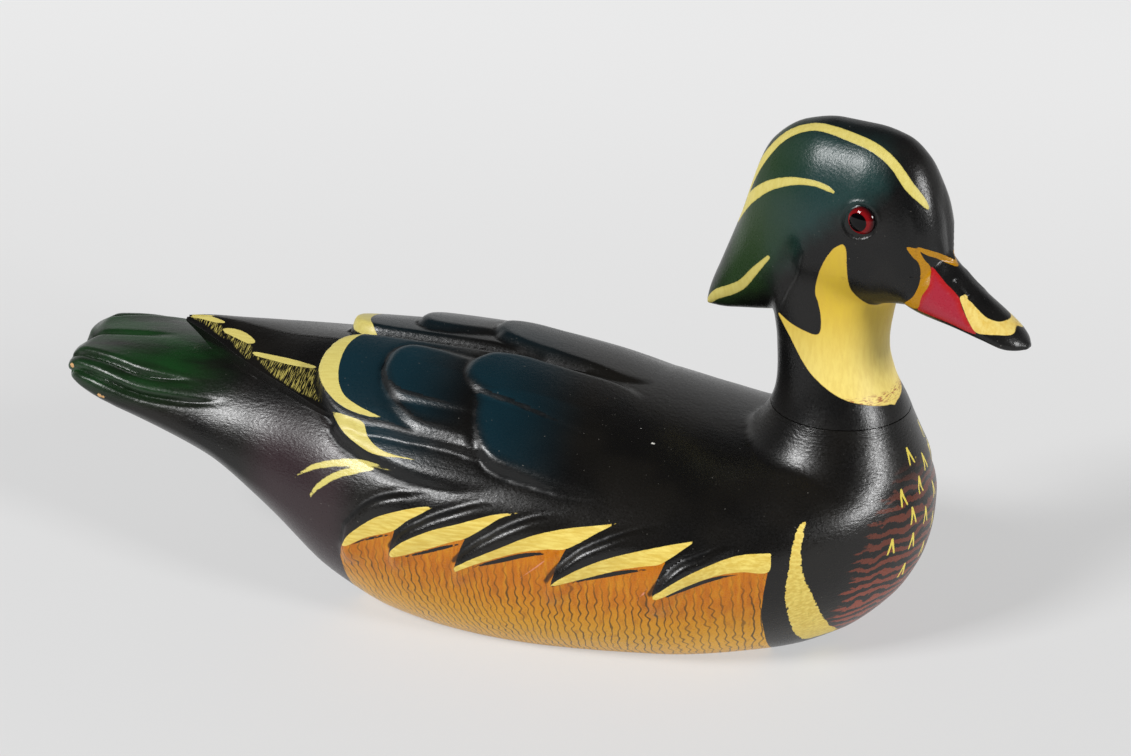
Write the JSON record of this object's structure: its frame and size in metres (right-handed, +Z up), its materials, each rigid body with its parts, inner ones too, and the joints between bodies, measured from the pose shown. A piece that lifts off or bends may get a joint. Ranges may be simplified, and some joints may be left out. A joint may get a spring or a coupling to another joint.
{
  "type": "duck decoy",
  "caption": "Carved and painted wooden duck decoy: crested head turned aside, folded shingled wings, lifted tail, glass eyes and a flat underside to stand on.",
  "frame": {"origin": "on the ground under the middle of the decoy's overall box", "axes": "+X towards the breast and bill, +Y to the duck's left, +Z up"},
  "size_m": [0.355, 0.1402, 0.186],
  "materials": {
    "painted_body": "satin varnish over black, green, blue, tan and cream paint",
    "painted_head": "satin varnish over dark green, cream and red paint",
    "eye_glass": "polished glass, painted red with a black pupil behind"
  },
  "bodies": {
    "root": {"body": "painted_body", "head": "painted_head", "eye_right": "eye_glass", "eye_left": "eye_glass"}
  },
  "joints": []
}
